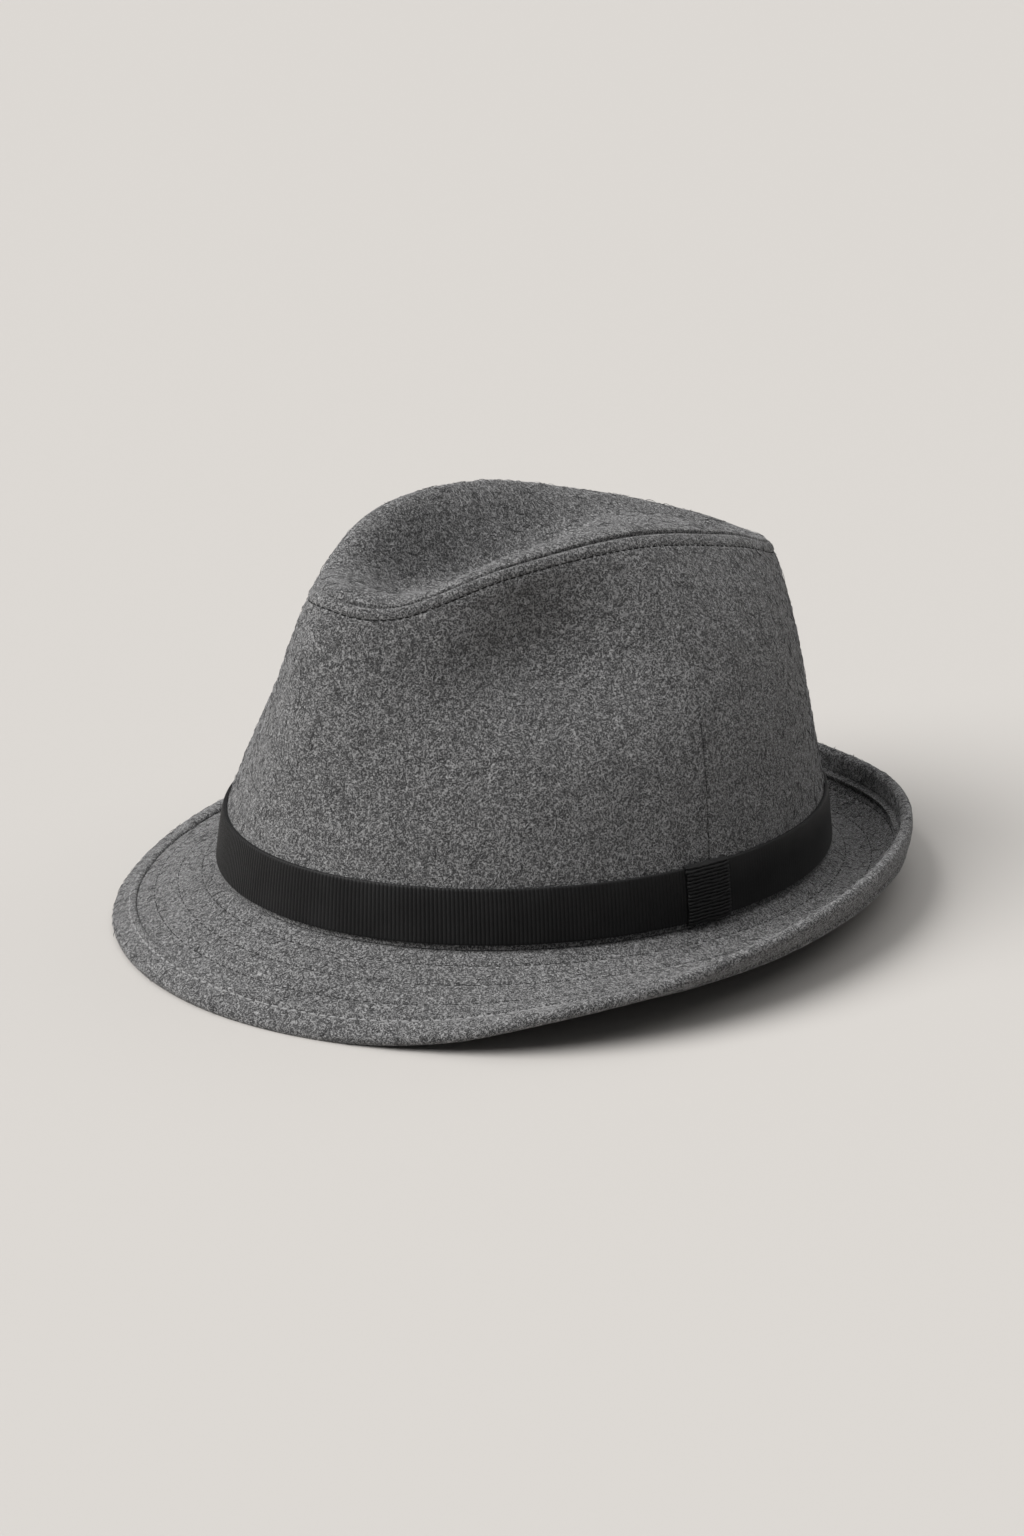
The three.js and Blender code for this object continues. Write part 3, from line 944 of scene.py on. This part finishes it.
class NodeSheet:
    # a geometry node tree with named inputs, run once on a piece
    def __init__(self, name):
        self.tree = bpy.data.node_groups.new(name, "GeometryNodeTree")
        self.tree.interface.new_socket("Geometry", in_out="INPUT", socket_type="NodeSocketGeometry")
        self.tree.interface.new_socket("Geometry", in_out="OUTPUT", socket_type="NodeSocketGeometry")
        self.source = self.tree.nodes.new("NodeGroupInput")
        self.result = self.tree.nodes.new("NodeGroupOutput")
        self.values = {}

    def value(self, name, kind, amount):
        socket = self.tree.interface.new_socket(name, in_out="INPUT", socket_type=kind)
        self.values[socket.identifier] = amount
        return self.source.outputs[name]

    def add(self, kind, settings, sockets):
        node = self.tree.nodes.new(kind)
        for key, value in settings.items():
            setattr(node, key, value)
        for key, value in sockets.items():
            if isinstance(value, bpy.types.NodeSocket):
                self.tree.links.new(value, node.inputs[key])
            else:
                node.inputs[key].default_value = value
        return node

    def end(self, geometry, material):
        real = self.add("GeometryNodeRealizeInstances", {}, {"Geometry": geometry})
        coloured = self.add(
            "GeometryNodeSetMaterial", {},
            {"Geometry": real.outputs[0], "Material": material},
        )
        self.tree.links.new(coloured.outputs[0], self.result.inputs[0])

    def run(self, source, name, material):
        modifier = source.modifiers.new(name, "NODES")
        modifier.node_group = self.tree
        for identifier, amount in self.values.items():
            modifier[identifier] = amount
        bpy.context.view_layer.update()
        ready = source.evaluated_get(bpy.context.evaluated_depsgraph_get())
        mesh = bpy.data.meshes.new_from_object(ready)
        source.modifiers.remove(modifier)
        mesh.name = name
        mesh.materials.clear()
        mesh.materials.append(material)
        mesh.shade_smooth()
        piece = bpy.data.objects.new(name, mesh)
        bpy.context.scene.collection.objects.link(piece)
        return piece


def pathObject(paths):
    points, edges, facing = [], [], []
    for places, up in paths:
        start = len(points)
        count = len(places)
        points += [tuple(p) for p in toMetres(places)]
        edges += [(start + i, start + (i + 1) % count) for i in range(count)]
        facing += [tuple(n / np.linalg.norm(n)) for n in up]
    mesh = bpy.data.meshes.new("stitch_path")
    mesh.from_pydata(points, edges, [])
    layer = mesh.attributes.new("facing", "FLOAT_VECTOR", "POINT")
    layer.data.foreach_set("vector", np.array(facing, float).ravel())
    path = bpy.data.objects.new("stitch_path", mesh)
    bpy.context.scene.collection.objects.link(path)
    return path


def sewPath(name, paths, stitch, thread):
    source = pathObject(paths)
    sheet = NodeSheet(name + "_nodes")
    pitch = sheet.value("Pitch", "NodeSocketFloat", stitch["pitch"] * mm)
    size = sheet.value("Size", "NodeSocketVector", [v * mm / 2 for v in stitch["size"]])
    seed = sheet.value("Seed", "NodeSocketInt", 3)
    curve = sheet.add("GeometryNodeMeshToCurve", {}, {"Mesh": sheet.source.outputs[0]})
    evenly = sheet.add(
        "GeometryNodeResampleCurve", {"mode": "LENGTH"},
        {"Curve": curve.outputs[0], "Length": pitch},
    )
    tangent = sheet.add("GeometryNodeInputTangent", {}, {})
    facing = sheet.add(
        "GeometryNodeInputNamedAttribute", {"data_type": "FLOAT_VECTOR"}, {"Name": "facing"},
    )
    along = sheet.add("FunctionNodeAlignRotationToVector", {"axis": "X"}, {"Vector": tangent.outputs[0]})
    flat = sheet.add(
        "FunctionNodeAlignRotationToVector",
        {"axis": "Z", "pivot_axis": "X"},
        {"Rotation": along.outputs[0], "Vector": facing.outputs[0]},
    )
    bead = sheet.add("GeometryNodeMeshUVSphere", {}, {"Segments": 6, "Rings": 5, "Radius": 1.0})
    turned = sheet.add(
        "GeometryNodeTransform", {},
        {"Geometry": bead.outputs[0], "Rotation": (0, math.pi / 2, 0)},
    )
    uneven = sheet.add(
        "FunctionNodeRandomValue", {"data_type": "FLOAT_VECTOR"},
        {0: (0.86, 0.85, 0.8), 1: (1.08, 1.1, 1.1), "Seed": seed},
    )
    scaled = sheet.add(
        "ShaderNodeVectorMath", {"operation": "MULTIPLY"}, {0: size, 1: uneven.outputs[0]},
    )
    placed = sheet.add(
        "GeometryNodeInstanceOnPoints", {},
        {
            "Points": evenly.outputs[0],
            "Instance": turned.outputs[0],
            "Rotation": flat.outputs[0],
            "Scale": scaled.outputs[0],
        },
    )
    sheet.end(placed.outputs[0], thread)
    piece = sheet.run(source, name, thread)
    bpy.data.objects.remove(source)
    return piece


topStitch = {"pitch": 2.4, "size": (1.85, 0.6, 0.5)}
brimStitch = {"pitch": 2.9, "size": (2.1, 0.42, 0.36)}
bindingStitch = {"pitch": 3.1, "size": (2.3, 0.7, 0.62)}

# the top seam's stitches carry painted shade of their holes in their near-black thread colour
topStitches = sewPath("top_seam_stitches", [topStitchPath], topStitch, darkThreadAndHoleShade)
brimStitches = sewPath("brim_stitches", brimStitchPaths, brimStitch, brimThread)
bindingStitches = sewPath("binding_stitches", bindingStitchPaths, bindingStitch, greyThread)
print("stitches sewn")


# pieces a square metre, then the sizes of one fibre
fibres = {
    "crown": 330000,
    "brim": 300000,
    "kinds": 10,
    "looseKinds": 2,
    "steps": 4,
    "length": 3.6,
    "thick": 0.17,
    "looseHeight": 0.38,
    "smallest": 0.45,
    "largest": 1.25,
    "seed": 11,
}


def fibreShape(name, rng, bends, tall):
    # one curly hair as a thin closed spindle, in metres, lying on the xy plane
    steps = fibres["steps"]
    heading = rng.uniform(-0.6, 0.6)
    turn = rng.uniform(*bends) * rng.choice([-1, 1])
    swing = rng.uniform(-0.8, 0.8)
    place = np.zeros(2)
    places = [place.copy()]
    for i in range(steps):
        share = (i + 0.5) / steps
        direction = heading + turn * share + swing * math.sin(2 * math.pi * share)
        place = place + np.array([math.cos(direction), math.sin(direction)]) * fibres["length"] / steps
        places.append(place.copy())
    places = np.array(places) - np.mean(places, 0)
    shares = np.arange(steps + 1) / steps
    heights = tall * np.sin(np.pi * shares) - 0.06
    centre = np.column_stack([places, heights])
    ahead = np.gradient(centre, axis=0)
    ahead /= np.linalg.norm(ahead, axis=1, keepdims=True)
    side = np.cross(ahead, [0, 0, 1])
    side /= np.linalg.norm(side, axis=1, keepdims=True)
    up = np.cross(side, ahead)
    points = [centre[0]]
    for i in range(1, steps):
        for k in range(3):
            a = 2 * math.pi * k / 3 + math.pi / 2
            spoke = side[i] * math.cos(a) + up[i] * math.sin(a)
            points.append(centre[i] + spoke * fibres["thick"] / 2)
    points.append(centre[-1])
    faces = []
    for k in range(3):
        faces.append((0, 1 + (k + 1) % 3, 1 + k))
        for i in range(steps - 2):
            a = 1 + 3 * i + k
            b = 1 + 3 * i + (k + 1) % 3
            faces.append((a, b, b + 3, a + 3))
        a = 1 + 3 * (steps - 2)
        faces.append((a + k, a + (k + 1) % 3, len(points) - 1))
    points = np.array(points) * mm
    triangles = [(f[0], f[1], f[2]) for f in faces]
    triangles += [(f[0], f[2], f[3]) for f in faces if len(f) == 4]
    corner = points[np.array(triangles)]
    if np.einsum("ij,ij->i", corner[:, 0], np.cross(corner[:, 1], corner[:, 2])).sum() < 0:
        faces = [face[::-1] for face in faces]
    mesh = bpy.data.meshes.new(name)
    mesh.from_pydata([tuple(p) for p in points], [], faces)
    return bpy.data.objects.new(name, mesh)


def fibreShapes(seed):
    rng = np.random.default_rng(seed)
    shapes = bpy.data.collections.new("fibre_shapes")
    for k in range(fibres["kinds"]):
        loose = k >= fibres["kinds"] - fibres["looseKinds"]
        tall = fibres["looseHeight"] if loose else rng.uniform(0.1, 0.25)
        bends = (0.4, 1.4) if loose else (0.8, 3.4)
        shapes.objects.link(fibreShape(f"fibre_{k}", rng, bends, tall))
    return shapes


def layFibres(name, cloth, density, seed, hair):
    shapes = fibreShapes(seed)
    sheet = NodeSheet(name + "_nodes")
    many = sheet.value("Density", "NodeSocketFloat", float(density))
    least = sheet.value("Smallest", "NodeSocketFloat", fibres["smallest"])
    most = sheet.value("Largest", "NodeSocketFloat", fibres["largest"])
    start = sheet.value("Seed", "NodeSocketInt", seed)
    kinds = sheet.value("Fibres", "NodeSocketCollection", shapes)
    fuzz = sheet.add("GeometryNodeInputNamedAttribute", {"data_type": "FLOAT"}, {"Name": "fuzz"})
    amount = sheet.add("ShaderNodeMath", {"operation": "MULTIPLY"}, {0: many, 1: fuzz.outputs[0]})
    spread = sheet.add(
        "GeometryNodeDistributePointsOnFaces", {},
        {"Mesh": sheet.source.outputs[0], "Density": amount.outputs[0], "Seed": start},
    )
    spin = sheet.add(
        "FunctionNodeRandomValue", {"data_type": "FLOAT_VECTOR"},
        {0: (-0.1, -0.1, 0), 1: (0.1, 0.1, 2 * math.pi), "Seed": start},
    )
    turn = sheet.add(
        "FunctionNodeRotateRotation", {"rotation_space": "LOCAL"},
        {"Rotation": spread.outputs["Rotation"], "Rotate By": spin.outputs[0]},
    )
    size = sheet.add(
        "FunctionNodeRandomValue", {"data_type": "FLOAT"}, {2: least, 3: most, "Seed": start},
    )
    library = sheet.add(
        "GeometryNodeCollectionInfo", {},
        {"Collection": kinds, "Separate Children": True, "Reset Children": True},
    )
    placed = sheet.add(
        "GeometryNodeInstanceOnPoints", {},
        {
            "Points": spread.outputs["Points"],
            "Instance": library.outputs[0],
            "Pick Instance": True,
            "Rotation": turn.outputs[0],
            "Scale": size.outputs[1],
        },
    )
    sheet.end(placed.outputs[0], hair)
    piece = sheet.run(cloth, name, hair)
    for shape in list(shapes.objects):
        bpy.data.objects.remove(shape)
    bpy.data.collections.remove(shapes)
    return piece


def hairFinish(name, grey):
    colour = (grey, grey, grey * 1.02, 1)
    return Finish(name, Base_Color=colour, Roughness=0.85, Specular_IOR_Level=0.2).material


paleHair = hairFinish("pale_hair", 0.275)
greyHair = hairFinish("grey_hair", 0.072)

hairPieces = []
for name, cloth, density in (
    ("crown_side", crownSide, fibres["crown"]),
    ("crown_tip", crownTip, fibres["crown"]),
    ("brim", brimCloth, fibres["brim"]),
    ("binding", brimBinding, fibres["brim"]),
):
    for kind, hair in (("_pale_fibres", paleHair), ("_grey_fibres", greyHair)):
        seed = fibres["seed"] + len(hairPieces)
        hairPieces.append(layFibres(name + kind, cloth, density * 0.5, seed, hair))
print("fibres laid")


# riding on the root body, and the CAD parts that these pieces replace are hidden

for piece in [crownSide, crownTip, brimCloth, brimBinding, hatBand, bandLoop]:
    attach(piece, "root")
for piece in [topStitches, brimStitches, bindingStitches] + hairPieces:
    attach(piece, "root")
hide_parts("crown_side")
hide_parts("crown_tip")
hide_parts("brim")
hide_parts("brim_binding")
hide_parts("hat_band")
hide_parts("band_loop")


# floor, light and camera

studio = {
    "floor": (0.455, 0.439, 0.422, 1),
    "floorReach": 12,  # metres
    "air": (0.80, 0.80, 0.80, 1),
    "airStrength": 0.19,
    "lightColour": (1.0, 0.99, 0.975),
    # strength, spread of its shadow, azimuth and elevation
    "key": (4.15, 46, -22, 46),
    "fill": (1.5, 80, 172, 74),
}

cameraView = {
    "azimuth": 50,
    "elevation": 21.0,
    "distance": 1300,
    "lens": 99.02,
    "aim": (-3.9, -3.5, 25.0),
}


def makeFloor():
    finish = Finish("pale_floor", Base_Color=studio["floor"], Roughness=0.9)
    mesh = bpy.data.meshes.new("floor")
    far = studio["floorReach"]
    corners = [(-far, -far, 0), (far, -far, 0), (far, far, 0), (-far, far, 0)]
    mesh.from_pydata(corners, [], [(0, 1, 2, 3)])
    mesh.materials.append(finish.material)
    floor = bpy.data.objects.new("floor", mesh)
    bpy.context.scene.collection.objects.link(floor)


def makeAir():
    world = bpy.data.worlds.new("studio_air")
    bpy.context.scene.world = world
    world.use_nodes = True
    background = world.node_tree.nodes["Background"]
    background.inputs["Color"].default_value = studio["air"]
    background.inputs["Strength"].default_value = studio["airStrength"]


def outwards(azimuth, elevation):
    # from the hat to the camera or a light
    a = math.radians(azimuth)
    e = math.radians(elevation)
    return Vector((math.sin(a) * math.cos(e), -math.cos(a) * math.cos(e), math.sin(e)))


def makeCamera():
    back = outwards(cameraView["azimuth"], cameraView["elevation"])
    data = bpy.data.cameras.new("camera")
    data.lens = cameraView["lens"]
    data.sensor_width = 36
    data.clip_start = 0.05
    data.clip_end = 60
    camera = bpy.data.objects.new("camera", data)
    aim = Vector([v * mm for v in cameraView["aim"]]) + Vector(headMiddle)
    camera.location = aim + back * cameraView["distance"] * mm
    camera.rotation_euler = back.to_track_quat("Z", "Y").to_euler()
    bpy.context.scene.collection.objects.link(camera)
    bpy.context.scene.camera = camera


def makeLight(name):
    # a broad soft light, far away
    strength, spread, azimuth, elevation = studio[name]
    data = bpy.data.lights.new(name + "_light", "SUN")
    data.energy = strength
    data.angle = math.radians(spread)
    data.color = studio["lightColour"]
    light = bpy.data.objects.new(name + "_light", data)
    light.rotation_euler = outwards(azimuth, elevation).to_track_quat("Z", "Y").to_euler()
    bpy.context.scene.collection.objects.link(light)


makeFloor()
makeAir()
makeCamera()
makeLight("key")
makeLight("fill")
bpy.context.scene.view_settings.view_transform = "Standard"
print("stage set")
